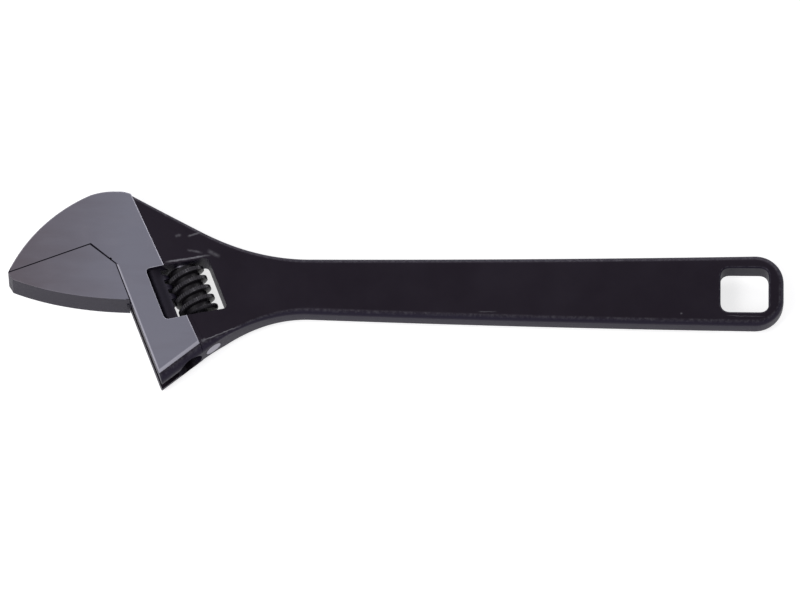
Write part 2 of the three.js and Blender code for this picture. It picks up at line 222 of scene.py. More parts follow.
@dataclass
class Solid:
    """A closed mesh in millimetres that can be joined with others before it becomes a piece."""

    shape: bpy.types.Object

    @classmethod
    def of(
        cls, vertices: np.ndarray, faces: list[tuple[int, ...]], placed: Matrix | None = None
    ) -> "Solid":
        """Makes a solid of vertices and faces.

        Args:
            vertices: one row of x, y, z for each vertex.
            faces: vertex numbers, against the clock seen from outside.
            placed: moves the solid into the frame it is joined in.

        Returns:
            The new solid.
        """
        mesh = bpy.data.meshes.new("solid")
        mesh.from_pydata([tuple(v) for v in vertices], [], faces)
        if placed is not None:
            mesh.transform(placed)
        mesh.validate()
        shape = bpy.data.objects.new("solid", mesh)
        bpy.context.scene.collection.objects.link(shape)
        return cls(shape)

    @classmethod
    def plate(
        cls,
        outline: list[Point],
        levels: list[Level],
        shares: np.ndarray | None = None,
        placed: Matrix | None = None,
    ) -> "Solid":
        """A flat outline drawn through levels, each with its own height and inset.

        Args:
            outline: points against the clock.
            levels: (height, inset) pairs, lowest first.
            shares: the share of the inset that each edge takes, 1 where it is left out.
            placed: moves the plate.

        Returns:
            The closed plate.
        """
        loop = np.array(outline, float)
        count = len(loop)
        shares = np.ones(count) if shares is None else shares
        rings = [np.column_stack([inset(loop, shares * d), np.full(count, z)]) for z, d in levels]
        faces = [tuple(reversed(range(count)))]
        for ring in range(len(levels) - 1):
            base = ring * count
            for i in range(count):
                j = (i + 1) % count
                faces.append((base + i, base + j, base + count + j, base + count + i))
        top = (len(levels) - 1) * count
        faces.append(tuple(range(top, top + count)))
        return cls.of(np.concatenate(rings), faces, placed)

    @classmethod
    def turned(cls, profile: list[Point], x: float, steps: int, placed: Matrix | None = None) -> "Solid":
        """A profile of (radius, y) pairs turned about the line through x that runs along y.

        Args:
            profile: pairs that run along the outside towards +y. Both ends lie on the axis.
            x: where the axis is.
            steps: facets round the axis.
            placed: moves the solid.

        Returns:
            The closed solid.
        """
        angles = np.arange(steps) / steps * 2 * math.pi
        inner = profile[1:-1]
        rows = [
            np.column_stack([x - r * np.cos(angles), np.full(steps, y), r * np.sin(angles)])
            for r, y in inner
        ]
        ends = np.array([[x, profile[0][1], 0], [x, profile[-1][1], 0]])
        vertices = np.concatenate(rows + [ends])
        faces = []
        for row in range(len(inner) - 1):
            for i in range(steps):
                j = (i + 1) % steps
                a, b = row * steps, (row + 1) * steps
                faces.append((a + i, a + j, b + j, b + i))
        low, high, last = len(inner) * steps, len(inner) * steps + 1, (len(inner) - 1) * steps
        for i in range(steps):
            j = (i + 1) % steps
            faces.append((low, j, i))
            faces.append((high, last + i, last + j))
        return cls.of(vertices, faces, placed)

    @classmethod
    def bar(
        cls, radius: float, low: float, high: float, x: float, steps: int = 64, placed: Matrix | None = None
    ) -> "Solid":
        """A round bar along y.

        Args:
            radius: of the bar.
            low: where it starts.
            high: where it ends.
            x: where its axis is.
            steps: facets round it.
            placed: moves the bar.

        Returns:
            The closed bar.
        """
        return cls.turned([(0, low), (radius, low), (radius, high), (0, high)], x, steps, placed)

    @classmethod
    def upright_bar(cls, centre: Point, radius: float) -> "Solid":
        """A thin round bar through the thickness."""
        steps = 24
        circle = arc(centre, radius, 0, 360, steps)[:-1]
        return cls.plate(circle, [(-THROUGH, 0), (THROUGH, 0)])

    @classmethod
    def block(cls, low: Place, high: Place, placed: Matrix | None = None) -> "Solid":
        """A plain block between two corners, used as a tool for cuts."""
        outline = [(low[0], low[1]), (high[0], low[1]), (high[0], high[1]), (low[0], high[1])]
        return cls.plate(outline, [(low[2], 0), (high[2], 0)], placed=placed)

    def join(self, other: "Solid", how: Join) -> "Solid":
        """Joins another solid to this one and uses it up.

        Args:
            other: the solid that is added, cut away or kept to.
            how: the kind of join.

        Returns:
            This solid.
        """
        step = self.shape.modifiers.new("join", "BOOLEAN")
        step.operation = how.value
        step.solver = "MANIFOLD"
        step.object = other.shape
        self.settle()
        other.drop()
        return self

    def settle(self) -> None:
        """Turns the live modifiers into plain mesh."""
        graph = bpy.context.evaluated_depsgraph_get()
        mesh = bpy.data.meshes.new_from_object(self.shape.evaluated_get(graph), depsgraph=graph)
        self.shape.modifiers.clear()
        old, self.shape.data = self.shape.data, mesh
        bpy.data.meshes.remove(old)

    def drop(self) -> None:
        """Removes the solid, once it has been joined to another."""
        mesh = self.shape.data
        bpy.data.objects.remove(self.shape)
        bpy.data.meshes.remove(mesh)


@dataclass
class Piece:
    """A finished piece: named, in the row frame, smooth where it should be, and dressed."""

    name: str
    body: str
    node: str
    slot: str

    def finish(
        self, solid: Solid, placed: Matrix, finishes: list[bpy.types.Material], sharp: float = 28.0
    ) -> bpy.types.Object:
        """Makes a solid into this piece.

        Args:
            solid: the closed mesh, in millimetres.
            placed: takes it to the row frame.
            finishes: one material for each material number that the faces carry.
            sharp: the angle in degrees from which an edge stays crisp.

        Returns:
            The finished object.
        """
        shape = solid.shape
        mesh = shape.data
        mesh.transform(placed)
        numbers = [face.material_index for face in mesh.polygons]
        mesh.materials.clear()
        for finish in finishes:
            mesh.materials.append(finish)
        mesh.polygons.foreach_set("material_index", numbers)
        work = bmesh.new()
        work.from_mesh(mesh)
        bmesh.ops.remove_doubles(work, verts=work.verts, dist=WELD)
        bmesh.ops.dissolve_degenerate(work, edges=work.edges, dist=WELD)
        work.to_mesh(mesh)
        work.free()
        mesh.shade_smooth()
        mesh.set_sharp_from_angle(angle=math.radians(sharp))
        even = shape.modifiers.new("even", "WEIGHTED_NORMAL")
        even.keep_sharp = True
        even.weight = 60
        solid.settle()
        shape.name = self.name
        shape.data.name = self.name
        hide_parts(self.node)
        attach(shape, self.body)
        log.info("%s: %d faces, rides on %s", self.name, len(shape.data.polygons), self.body)
        return shape


def is_flat(middle: Vector, normal: Vector) -> bool:
    """Whether a face lies in one of the head's two ground flats."""
    return abs(normal.z) > 0.999 and abs(middle.z) > HEAD_HALF - 0.01


def is_rim(middle: Vector, normal: Vector) -> bool:
    """Whether a face belongs to the fine chamfer round a ground flat."""
    return 0.3 < abs(normal.z) < 0.99 and abs(middle.z) > HEAD_HALF - NEAR_FLAT


def eased_levels() -> list[Level]:
    """Levels of a plate of the head's thickness with fine chamfers on both sides."""
    edge = HEAD_HALF - CHAMFER
    return [(-HEAD_HALF, CHAMFER), (-edge, 0), (edge, 0), (HEAD_HALF, CHAMFER)]


def mark_faces(solid: Solid, rule: Callable[[Vector, Vector], int]) -> None:
    """Gives each face the material number that a rule returns for its middle and its normal."""
    for face in solid.shape.data.polygons:
        face.material_index = rule(face.center, face.normal)


# ---- node trees for materials ---------------------------------------------------------------------------


class Recipe:
    """A small helper that adds shader nodes to one material and links them."""

    def __init__(self, name: str) -> None:
        """Starts an empty material with a principled shader."""
        self.material = bpy.data.materials.new(name)
        self.material.use_nodes = True
        self.tree = self.material.node_tree
        self.tree.nodes.clear()
        self.shader = self.tree.nodes.new("ShaderNodeBsdfPrincipled")
        output = self.tree.nodes.new("ShaderNodeOutputMaterial")
        self.tree.links.new(self.shader.outputs["BSDF"], output.inputs["Surface"])
        self.place = self.tree.nodes.new("ShaderNodeTexCoord")

    def put(self, socket: Socket, value: Socket | float | tuple | None) -> None:
        """Links a socket to another, or sets it to a plain value."""
        if isinstance(value, Socket):
            self.tree.links.new(value, socket)
        elif value is not None:
            socket.default_value = value

    def mapped(self, size: Place = (1, 1, 1), turn: Place = (0, 0, 0)) -> Socket:
        """Object coordinates in millimetres, stretched by size and turned by angles in degrees."""
        node = self.tree.nodes.new("ShaderNodeMapping")
        self.put(node.inputs["Vector"], self.place.outputs["Object"])
        node.inputs["Scale"].default_value = [s / MM for s in size]
        node.inputs["Rotation"].default_value = [math.radians(a) for a in turn]
        return node.outputs["Vector"]

    def noise(self, vector: Socket, scale: float, detail: float = 3, roughness: float = 0.55) -> Socket:
        """A noise pattern; a scale of 1 gives features of about a millimetre."""
        node = self.tree.nodes.new("ShaderNodeTexNoise")
        self.put(node.inputs["Vector"], vector)
        node.inputs["Scale"].default_value = scale
        node.inputs["Detail"].default_value = detail
        node.inputs["Roughness"].default_value = roughness
        return node.outputs["Fac"]

    def cells(self, vector: Socket, scale: float) -> Socket:
        """The distance to the nearest of many scattered points."""
        node = self.tree.nodes.new("ShaderNodeTexVoronoi")
        self.put(node.inputs["Vector"], vector)
        node.inputs["Scale"].default_value = scale
        return node.outputs["Distance"]

    def span(
        self, value: Socket | float, low: float, high: float, to_low: float = 0.0, to_high: float = 1.0
    ) -> Socket:
        """Maps a value from one range to another and clamps it.

        Args:
            value: what is mapped.
            low: the value that becomes to_low. It may be the larger of the two.
            high: the value that becomes to_high.
            to_low: the result at low and beyond it.
            to_high: the result at high and beyond it.

        Returns:
            The mapped value.
        """
        node = self.tree.nodes.new("ShaderNodeMapRange")
        for name, number in zip(("From Min", "From Max", "To Min", "To Max"), (low, high, to_low, to_high)):
            node.inputs[name].default_value = number
        self.put(node.inputs["Value"], value)
        return node.outputs["Result"]

    def sum(
        self, how: str, a: Socket | float, b: Socket | float | None = None, c: Socket | float | None = None
    ) -> Socket:
        """A Math node."""
        node = self.tree.nodes.new("ShaderNodeMath")
        node.operation = how
        for socket, value in zip(node.inputs, (a, b, c)):
            self.put(socket, value)
        return node.outputs[0]

    def mix(self, share: Socket | float, a: Socket | Colour, b: Socket | Colour) -> Socket:
        """A colour between a and b."""
        node = self.tree.nodes.new("ShaderNodeMix")
        node.data_type = "RGBA"
        self.put(node.inputs[0], share)
        self.put(node.inputs[6], (*a, 1) if isinstance(a, tuple) else a)
        self.put(node.inputs[7], (*b, 1) if isinstance(b, tuple) else b)
        return node.outputs[2]

    def axis(self, source: str, name: str) -> Socket:
        """One component of Object or Normal coordinates."""
        node = self.tree.nodes.new("ShaderNodeSeparateXYZ")
        self.put(node.inputs[0], self.place.outputs[source])
        return node.outputs[name]

    def bump(self, height: Socket, depth_mm: float, strength: float) -> Socket:
        """A bump of a given depth in millimetres."""
        node = self.tree.nodes.new("ShaderNodeBump")
        node.inputs["Distance"].default_value = depth_mm * MM
        node.inputs["Strength"].default_value = strength
        self.put(node.inputs["Height"], height)
        return node.outputs["Normal"]

    def surface(self, **values: Socket | float | tuple) -> bpy.types.Material:
        """Sets or links the shader's sockets, with underscores for spaces, and returns the material."""
        for name, value in values.items():
            self.put(self.shader.inputs[name.replace("_", " ")], value)
        return self.material


@dataclass(frozen=True)
class ScuffAndGlint:
    """A light streak on the black finish, a scratch for some and a painted highlight along an edge for
    others: its two ends in the wrench frame, its width and its strength.
    """

    start: Point
    end: Point
    width: float = 0.35
    strength: float = 0.5


@dataclass(frozen=True)
class BlackForging:
    """Black phosphate on forged steel, rubbed through along its edges, which also carry a painted
    highlight; its flanks carry a painted reflection.
    """

    name: str = "black_forging"
    dark: Colour = (0.0066, 0.0042, 0.0074)
    faded: Colour = (0.0110, 0.0082, 0.0125)
    # painted reflection: the paler colour of the flanks, chosen by how steep the face is
    side: Colour = (0.017, 0.014, 0.026)
    # partly real wear and partly a painted highlight: the light colour of the rounded edges and of the
    # light streaks
    rubbed_and_highlight: Colour = (0.27, 0.265, 0.29)
    sheen_of_black: Colour = (0.86, 0.76, 1.0)
    roughness: float = 0.47
    grain_mm: float = 0.03
    scuffs_and_glints: tuple[ScuffAndGlint, ...] = ()

    def scuff_and_glint_mask(self, recipe: Recipe) -> Socket | None:
        """How strongly the scratches and the painted edge highlights show, from 0 to 1, or None where there
        are none.
        """
        if not self.scuffs_and_glints:
            return None
        # the row frame and the wrench frame differ by a move and a scale only
        move = LAYOUT.wrench_to_row().inverted().translation
        drift = recipe.noise(recipe.mapped((0.5, 0.5, 0.5)), 1.0)
        wobble = recipe.sum("MULTIPLY_ADD", drift, 0.8, -0.4)
        total = None
        for streak_mark in self.scuffs_and_glints:
            start, run = Vector(streak_mark.start), Vector(streak_mark.end) - Vector(streak_mark.start)
            length, along = run.length, run.normalized()
            x = recipe.sum("MULTIPLY_ADD", recipe.axis("Object", "X"), 1 / MM, move.x - start.x)
            y = recipe.sum("MULTIPLY_ADD", recipe.axis("Object", "Y"), 1 / MM, move.y - start.y)
            u = recipe.sum("MULTIPLY_ADD", y, along.y, recipe.sum("MULTIPLY", x, along.x))
            v = recipe.sum("MULTIPLY_ADD", y, along.x, recipe.sum("MULTIPLY", x, -along.y))
            grows = recipe.span(u, 0, length * 0.2)
            fades = recipe.span(u, length, length * 0.7)
            across = recipe.span(recipe.sum("ABSOLUTE", recipe.sum("ADD", v, wobble)), streak_mark.width, 0.0)
            inside = recipe.sum("MULTIPLY", recipe.sum("MULTIPLY", grows, fades), across)
            mark = recipe.sum("MULTIPLY", inside, streak_mark.strength)
            total = mark if total is None else recipe.sum("MAXIMUM", total, mark)
        return total

    def make(self) -> bpy.types.Material:
        """Builds the material."""
        recipe = Recipe(self.name)
        fine = recipe.noise(recipe.mapped(), 2.6, 5, 0.62)
        broad = recipe.noise(recipe.mapped(), 0.05, 3)
        broken = recipe.noise(recipe.mapped((0.7, 0.7, 0.7)), 1.0, 4, 0.7)
        pits = recipe.span(recipe.cells(recipe.mapped(), 0.9), 0.0, 0.16)
        colour = recipe.mix(recipe.span(broad, 0.35, 0.7), self.dark, self.faded)
        colour = recipe.mix(recipe.span(fine, 0.55, 0.85, 0.0, 0.35), colour, self.faded)
        # painted reflection: paler on the flanks; and rubbed where the rounded edge of a flat turns over,
        # partly real edge wear and partly a painted highlight
        steep = recipe.sum("ABSOLUTE", recipe.axis("Normal", "Z"))
        colour = recipe.mix(recipe.span(steep, 0.985, 0.75), colour, self.side)
        # the band where a flat rounds over gets the light colour: partly edge wear, partly a painted
        # highlight
        edge = recipe.sum("MULTIPLY", recipe.span(steep, 0.99, 0.94), recipe.span(steep, 0.62, 0.86))
        wear_and_highlight = recipe.sum("MULTIPLY", edge, recipe.span(broken, 0.42, 0.68, 0.01, 0.17))
        # the light streaks: real scratches, and painted highlights along some edges
        mark = self.scuff_and_glint_mask(recipe)
        if mark is not None:
            mark = recipe.sum("MULTIPLY", mark, recipe.span(broken, 0.36, 0.56, 0.55, 1.0))
            wear_and_highlight = recipe.sum("MAXIMUM", wear_and_highlight, mark)
        colour = recipe.mix(wear_and_highlight, colour, self.rubbed_and_highlight)
        rough = recipe.sum("MULTIPLY_ADD", recipe.span(fine, 0.3, 0.75), 0.14, self.roughness - 0.07)
        rough = recipe.sum("MULTIPLY_ADD", wear_and_highlight, -0.12, rough)
        relief = recipe.sum("MULTIPLY_ADD", pits, 0.5, fine)
        return recipe.surface(
            Base_Color=colour,
            Metallic=0.0,
            Roughness=rough,
            Specular_IOR_Level=recipe.span(steep, 0.5, 0.98, 0.1, 0.26),
            Specular_Tint=(*self.sheen_of_black, 1.0),
            Normal=recipe.bump(relief, self.grain_mm, 0.55),
        )


@dataclass(frozen=True)
class GroundSteel:
    """Steel flats ground along the wrench and then darkened a little."""

    name: str = "ground_steel"
    near: Colour = (0.385, 0.386, 0.460)
    far: Colour = (0.262, 0.232, 0.262)
    roughness: float = 0.34
    line_mm: float = 0.016

    def make(self) -> bpy.types.Material:
        """Builds the material."""
        recipe = Recipe(self.name)
        wide = recipe.noise(recipe.mapped((0.25, 1.0, 1.0), (0, 0, 35)), 0.16, 3)
        streak = recipe.noise(recipe.mapped((0.06, 3.2, 1.0), (0, 0, -22)), 1.0, 4, 0.7)
        cross = recipe.noise(recipe.mapped((0.1, 4.5, 1.0), (0, 0, 12)), 1.0, 3, 0.6)
        cloud = recipe.noise(recipe.mapped(), 0.12, 4, 0.6)
        fine = recipe.noise(recipe.mapped(), 3.0, 2)
        # browner and darker towards the tips of the jaws
        x = recipe.axis("Object", "X")
        tone = recipe.span(x, -0.150, -0.104)
        tone = recipe.sum("MULTIPLY_ADD", recipe.sum("SUBTRACT", wide, 0.5), 0.6, tone)
        colour = recipe.mix(recipe.span(tone, 0.0, 1.0), self.far, self.near)
        dirt = recipe.span(cloud, 0.5, 0.78, 0.0, 0.22)
        colour = recipe.mix(dirt, colour, tuple(c * 0.66 for c in self.far))
        lines = recipe.sum("MULTIPLY_ADD", streak, 0.6, recipe.sum("MULTIPLY", cross, 0.4))
        in_lines = tuple(c * 0.72 for c in self.near)
        colour = recipe.mix(recipe.span(lines, 0.35, 0.65, 0.0, 0.16), colour, in_lines)
        rough = recipe.sum("MULTIPLY_ADD", lines, 0.16, self.roughness - 0.08)
        rough = recipe.sum("MULTIPLY_ADD", dirt, 0.35, rough)
        relief = recipe.sum("MULTIPLY_ADD", fine, 0.25, lines)
        return recipe.surface(
            Base_Color=colour,
            Metallic=1.0,
            Roughness=rough,
            Normal=recipe.bump(relief, self.line_mm, 0.35),
        )


@dataclass(frozen=True)
class TurnedSteel:
    """Bare steel as it leaves a lathe, or drawn through a die."""

    name: str
    colour: Colour
    roughness: float
    ring_scale: float

    def make(self) -> bpy.types.Material:
        """Builds the material."""
        recipe = Recipe(self.name)
        fine = recipe.noise(recipe.mapped(), self.ring_scale, 4, 0.65)
        stain = recipe.noise(recipe.mapped(), 0.35, 3)
        stained = tuple(c * 0.6 for c in self.colour)
        colour = recipe.mix(recipe.span(stain, 0.4, 0.75, 0.0, 0.45), self.colour, stained)
        return recipe.surface(
            Base_Color=colour,
            Metallic=1.0,
            Roughness=recipe.sum("MULTIPLY_ADD", fine, 0.2, self.roughness - 0.1),
            Normal=recipe.bump(fine, 0.012, 0.5),
        )


@dataclass(frozen=True)
class BlackKnurl:
    """Black phosphate on the worm, polished by thumbs on the crests of its thread."""

    name: str = "black_knurl"
    dark: Colour = (0.011, 0.0095, 0.0125)
    polished: Colour = (0.060, 0.057, 0.066)

    def make(self) -> bpy.types.Material:
        """Builds the material. It reads the share of the crest's radius that the worm's tree stores."""
        recipe = Recipe(self.name)
        store = recipe.tree.nodes.new("ShaderNodeAttribute")
        store.attribute_name = "crest"
        fine = recipe.noise(recipe.mapped(), 2.5, 4, 0.6)
        broken = recipe.noise(recipe.mapped(), 0.9, 4, 0.7)
        near_crest = recipe.span(store.outputs["Fac"], 0.86, 1.0)
        worn = recipe.sum("MULTIPLY", near_crest, recipe.span(broken, 0.35, 0.65, 0.25, 1.0))
        return recipe.surface(
            Base_Color=recipe.mix(worn, self.dark, self.polished),
            Metallic=0.35,
            Roughness=recipe.sum("MULTIPLY_ADD", worn, -0.14, recipe.span(fine, 0.3, 0.7, 0.38, 0.52)),
            Specular_IOR_Level=0.4,
            Normal=recipe.bump(fine, 0.02, 0.6),
        )


# ---- geometry node trees --------------------------------------------------------------------------------


class Grower:
    """A geometry node tree with named inputs, run once on an object and then turned into plain mesh."""

    def __init__(self, name: str) -> None:
        """Starts a tree with a geometry input and output."""
        self.tree = bpy.data.node_groups.new(name, "GeometryNodeTree")
        self.tree.interface.new_socket("Geometry", in_out="INPUT", socket_type="NodeSocketGeometry")
        self.tree.interface.new_socket("Geometry", in_out="OUTPUT", socket_type="NodeSocketGeometry")
        self.start = self.tree.nodes.new("NodeGroupInput")
        self.end = self.tree.nodes.new("NodeGroupOutput")
        self.values: dict[str, float] = {}

    def size(self, name: str, value: float, kind: str = "NodeSocketFloat") -> Socket:
        """Adds a named input and returns its socket inside the tree."""
        socket = self.tree.interface.new_socket(name, in_out="INPUT", socket_type=kind)
        self.values[socket.identifier] = value
        return next(s for s in self.start.outputs if s.identifier == socket.identifier)

    def node(self, kind: str, inputs: dict | None = None, **settings: str) -> bpy.types.Node:
        """Adds a node.

        Args:
            kind: the node's type name.
            inputs: values or sockets by input name or number.
            settings: attributes of the node, such as its operation.

        Returns:
            The node.
        """
        node = self.tree.nodes.new(kind)
        for name, value in settings.items():
            setattr(node, name, value)
        for key, value in (inputs or {}).items():
            if isinstance(value, Socket):
                self.tree.links.new(value, node.inputs[key])
            else:
                node.inputs[key].default_value = value
        return node

    def sum(self, how: str, *values: Socket | float) -> Socket:
        """A Math node inside the tree."""
        return self.node("ShaderNodeMath", dict(enumerate(values)), operation=how).outputs[0]

    def run(self, geometry: Socket, material: bpy.types.Material, base: Solid) -> Solid:
        """Ends the tree, runs it on a solid and leaves plain mesh.

        Args:
            geometry: what the tree has made.
            material: the finish that the tree sets.
            base: the solid whose mesh enters the tree.

        Returns:
            The same solid, with its new mesh.
        """
        real = self.node("GeometryNodeRealizeInstances", {"Geometry": geometry})
        dressed = self.node("GeometryNodeSetMaterial", {"Geometry": real.outputs[0], "Material": material})
        self.tree.links.new(dressed.outputs[0], self.end.inputs[0])
        step = base.shape.modifiers.new(self.tree.name, "NODES")
        step.node_group = self.tree
        for identifier, value in self.values.items():
            step[identifier] = value
        base.settle()
        return base


# ---- the forged body ------------------------------------------------------------------------------------


@dataclass(frozen=True)
class Opening:
    """A four-cornered opening with round corners and round rims, which may lean to its right."""

    left: float
    right: float
    bottom: float
    top: float
    corner: float
    rim: float
    lean: float = 0.0

    def cutter(self, half: float, corner_steps: int, rim_steps: int, placed: Matrix | None = None) -> Solid:
        """The tool that cuts this opening.

        Args:
            half: half thickness of what it cuts.
            corner_steps: facets in each corner.
            rim_steps: facets over each rim.
            placed: moves the tool.

        Returns:
            The closed tool.
        """
        drop = self.lean * (self.right - self.left)
        corners = [
            (self.left, self.bottom), (self.right, self.bottom - drop),
            (self.right, self.top - drop), (self.left, self.top),
        ]
        outline = rounded(corners, self.corner, corner_steps)
        return Solid.plate(outline, flared_levels(half, self.rim, rim_steps), placed=placed)


@dataclass(frozen=True)
class Station:
    """One cut across the neck or handle."""

    back: Point
    belly: Point
    half: float
    back_radius: float
    belly_radius: float


@dataclass
class ForgedBody:
    """Handle, head and fixed jaw: one forging with ground flats on both sides of the head."""

    length: float = 305.0
    handle_half: float = 5.25
    handle_start: float = 120.0
    # distance of each edge from the centre line: at the start, then gained with the share and its square
    handle_back: tuple[float, float, float] = (11.68, 1.38, 1.97)
    handle_belly: tuple[float, float, float] = (11.5, 5.28, -2.15)
    edge_radius: float = 2.6
    end_corner: float = 11.5
    neck_back: Point = (47.8, 36.6)
    neck_back_slope: float = -0.51
    neck_back_turn: float = 76.0
    neck_back_radius: float = 1.4
    neck_belly: Point = (77.0, -28.2)
    neck_belly_slope: float = 0.83
    neck_belly_radius: float = 1.5
    flat_from: float = 104.0
    flat_step: float = 0.18
    draft: float = 0.12
    tail_tip: float = 51.9
    tail_radius: float = 4.2
    jaw_face: float = 11.5
    jaw_reach: float = 41.2
    throat_run: float = 6.64
    crest_centre: Point = (59.64, -22.9)
    crest_radius: float = 65.12
    crest_angle: float = 115.2
    window: Opening = Opening(9.8, 34.8, -28.6, -6.1, corner=2.0, rim=0.25, lean=0.133)
    hang_hole: Opening = Opening(280.1, 299.1, -9.2, 9.2, corner=4.0, rim=0.9)
    channel_radius: float = 5.55
    channel_top: float = 12.5
    rack_axis: float = 13.4
    web_half: float = 2.6
    pin_hole: float = 3.3
    pin_hole_top: float = -0.6
    relief: Point = (-1.5, 2.7)
    relief_radius: float = 0.5
    # light streaks on the black: scratches, and painted highlights along edges where noted
    scuffs_and_glints: tuple[ScuffAndGlint, ...] = (
        ScuffAndGlint((65.2, 19.6), (68.0, 20.4), 0.8, 0.30),
        ScuffAndGlint((70.2, 19.6), (75.8, 21.9), 0.6, 0.55),
        ScuffAndGlint((70.0, 13.9), (76.6, 13.0), 0.7, 0.32),
        ScuffAndGlint((78.0, 14.2), (83.4, 11.4), 1.1, 0.30),
        # painted highlight along the upper rim of the worm's window
        ScuffAndGlint((61.4, 8.3), (79.8, 12.2), 0.55, 0.95),
        ScuffAndGlint((60.9, 29.6), (61.8, 27.9), 0.6, 0.30),
        # along the top edge of the handle: partly scratches, partly painted highlight
        ScuffAndGlint((184.6, -10.4), (192.4, -10.2), 0.35, 0.3),
        ScuffAndGlint((264.2, -10.3), (265.2, -10.2), 0.5, 0.45),
        ScuffAndGlint((282.0, -11.0), (298.0, -11.2), 0.2, 0.3),
        # painted highlight, partly edge wear, along the lower rounded edge of the neck
        ScuffAndGlint((75.6, -24.9), (92.6, -16.9), 0.3, 0.75),
        ScuffAndGlint((76.4, -24.6), (78.4, -23.4), 0.8, 0.60),
    )

    def handle_edge(self, growth: tuple[float, float, float], x: float) -> float:
        """Distance of one edge of the handle from its centre line at x."""
        share = (x - self.handle_start) / (self.length - self.handle_start)
        return growth[0] + growth[1] * share + growth[2] * share * share

    def fillet(self, x: float, start: Point, slope: float, end: Point) -> float:
        """Height at x of a parabola that leaves start at a slope and arrives at end."""
        t = (x - start[0]) / (end[0] - start[0])
        control = start[1] + slope * (end[0] - start[0]) / 2
        return (1 - t) ** 2 * start[1] + 2 * t * (1 - t) * control + t * t * end[1]

    def back_edge(self, x: float) -> float:
        """Height of the upper edge of neck and handle at x."""
        slope, turn = self.neck_back_slope, self.neck_back_turn
        if x < turn:
            return self.neck_back[1] + slope * (x - self.neck_back[0])
        if x < self.handle_start:
            height = self.neck_back[1] + slope * (turn - self.neck_back[0])
            return self.fillet(x, (turn, height), slope, (self.handle_start, self.handle_back[0]))
        return self.handle_edge(self.handle_back, x)

    def belly_edge(self, x: float) -> float:
        """Height of the lower edge of neck and handle at x."""
        if x < self.handle_start:
            end = (self.handle_start, -self.handle_belly[0])
            return self.fillet(x, self.neck_belly, self.neck_belly_slope, end)
        return -self.handle_edge(self.handle_belly, x)

    def belly_radius(self, fade: float) -> float:
        """Radius of the lower rims: large at the tail, crisp on the neck and softer on the handle."""
        crisp_at = 0.8
        if fade > crisp_at:
            share = (fade - crisp_at) / (1 - crisp_at)
            return self.neck_belly_radius + (self.tail_radius - self.neck_belly_radius) * share
        return self.edge_radius + (self.neck_belly_radius - self.edge_radius) * fade / crisp_at

    def stations(self) -> list[Station]:
        """Stations from the head to the end of the handle, the first of them hidden inside the head."""
        start = (self.neck_back[0] + self.neck_belly[0]) / 2
        slant = (self.neck_belly[0] - self.neck_back[0]) / 2
        corner_from = self.length - self.end_corner
        places = [start - 5, *np.linspace(start, self.handle_start, 44), *np.linspace(126, 288, 16)]
        places += [corner_from + self.end_corner * math.sin(a) for a in np.linspace(0, math.pi / 2, 16)]
        found = []
        for x in places:
            fade = min(max((self.handle_start - x) / (self.handle_start - start), 0), 1)
            thicken = min(max((self.flat_from - x) / (self.flat_from - start), 0), 1) ** 2
            hidden = 3.0 if x < start else 0.0
            into = max(0.0, x - corner_from) / self.end_corner
            corner = self.end_corner * (1 - math.sqrt(max(0.0, 1 - into * into)))
            back_x, belly_x = x - slant * fade, x + slant * fade
            belly_y = self.belly_edge(max(belly_x, self.neck_belly[0]))
            found.append(Station(
                back=(back_x, self.back_edge(back_x) - hidden - corner),
                belly=(belly_x, belly_y + hidden + corner),
                half=self.handle_half + (HEAD_HALF - self.flat_step - self.handle_half) * thicken,
                back_radius=self.edge_radius + (self.neck_back_radius - self.edge_radius) * fade,
                belly_radius=self.belly_radius(fade),
            ))
        return found

    def neck_and_handle(self, steps: int = 9) -> Solid:
        """Neck and handle, rounded all along their rims and round the end."""
        stations = self.stations()
        count = len(stations)
        total = 2 * count
        returning = stations[::-1]
        loop = np.array([s.belly for s in stations] + [s.back for s in returning])
        half = np.array([s.half for s in stations + returning])
        radius = np.array([s.belly_radius for s in stations] + [s.back_radius for s in returning])
        rings = []
        for side in (-1, 1):
            turns = np.linspace(0, math.pi / 2, steps + 1)
            for turn in (reversed(turns) if side < 0 else turns):
                amounts = self.draft * (half - radius) / half + radius * (1 - math.cos(turn))
                z = half - radius * (1 - math.sin(turn))
                rings.append(np.column_stack([inset(loop, amounts), side * z]))
            if side < 0:
                rings.append(np.column_stack([loop, np.zeros(total)]))
        faces = []
        for ring in range(len(rings) - 1):
            low, high = ring * total, (ring + 1) * total
            for i in range(total):
                j = (i + 1) % total
                faces.append((low + i, low + j, high + j, high + i))
        top = (len(rings) - 1) * total
        for i in range(count - 1):
            a, b, c, d = i, i + 1, total - 2 - i, total - 1 - i
            faces.append((top + a, top + b, top + c, top + d))
            faces.append((d, c, b, a))
        return Solid.of(np.concatenate(rings), faces)

    def head(self) -> Solid:
        """Head and fixed jaw as a plate with fine chamfers, wider along its outer edges."""
        shoulder = arc(self.crest_centre, self.crest_radius, self.crest_angle, self.crest_angle, 1)[0]
        tip = in_wrench(-self.jaw_reach, self.jaw_face)
        peak = in_wrench(-self.throat_run, self.jaw_face)
        tip_angle = math.degrees(math.atan2(tip[1] - self.crest_centre[1], tip[0] - self.crest_centre[0]))
        tail = in_wrench(0, -self.tail_tip)
        back = (self.neck_back[0], self.neck_back[1] + 0.1)
        brow, flat_end = (43.6, 37.68), (41, 37.66)
        crest = arc(self.crest_centre, self.crest_radius, self.crest_angle, tip_angle, 60)
